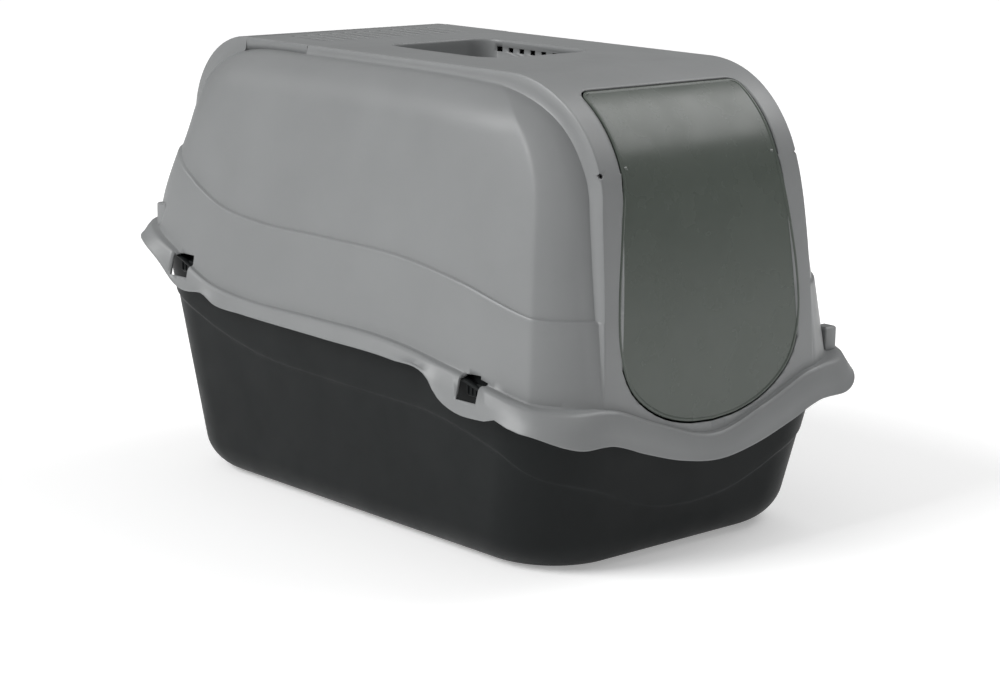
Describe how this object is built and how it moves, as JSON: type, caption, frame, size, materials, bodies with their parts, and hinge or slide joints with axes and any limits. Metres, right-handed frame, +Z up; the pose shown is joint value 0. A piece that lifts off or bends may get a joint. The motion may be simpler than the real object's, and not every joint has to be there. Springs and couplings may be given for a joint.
{
  "type": "hooded cat litter box",
  "caption": "Covered litter box: deep base tray, domed hood with snap rim and handle recess, swing door and vented filter cover.",
  "frame": {"origin": "on the floor, at the middle of the box's length and width", "axes": "+Z up, the door faces -Y and the long side runs along Y, +X across the width"},
  "size_m": [0.41, 0.6, 0.415],
  "materials": {
    "tray_plastic": "charcoal polypropylene, fine grain, slight sheen",
    "hood_plastic": "mid grey polypropylene, satin with fine grain",
    "door_plastic": "tinted grey, smooth and glossy",
    "pin_plastic": "dark acetal",
    "filter_fibre": "black carbon fibre pad"
  },
  "bodies": {
    "base": {"base_tray": "tray_plastic"},
    "hood": {"hood": "hood_plastic", "hinge_pin_left": "pin_plastic", "hinge_pin_right": "pin_plastic"},
    "door": {"door": "door_plastic"},
    "cover": {"filter_cover": "hood_plastic", "filter_pad": "filter_fibre"}
  },
  "joints": [
    {"name": "hood_lift", "type": "slide", "parent": "base", "child": "hood", "axis": [0, 0, 1], "range_m": [0, 0.3]},
    {"name": "door_swing", "type": "hinge", "parent": "hood", "child": "door", "pos_m": [0, -0.2615, 0.34], "axis": [1, 0, 0], "range_deg": [-80, 80]},
    {"name": "cover_lift", "type": "slide", "parent": "hood", "child": "cover", "axis": [0, 0, 1], "range_m": [0, 0.1]}
  ]
}
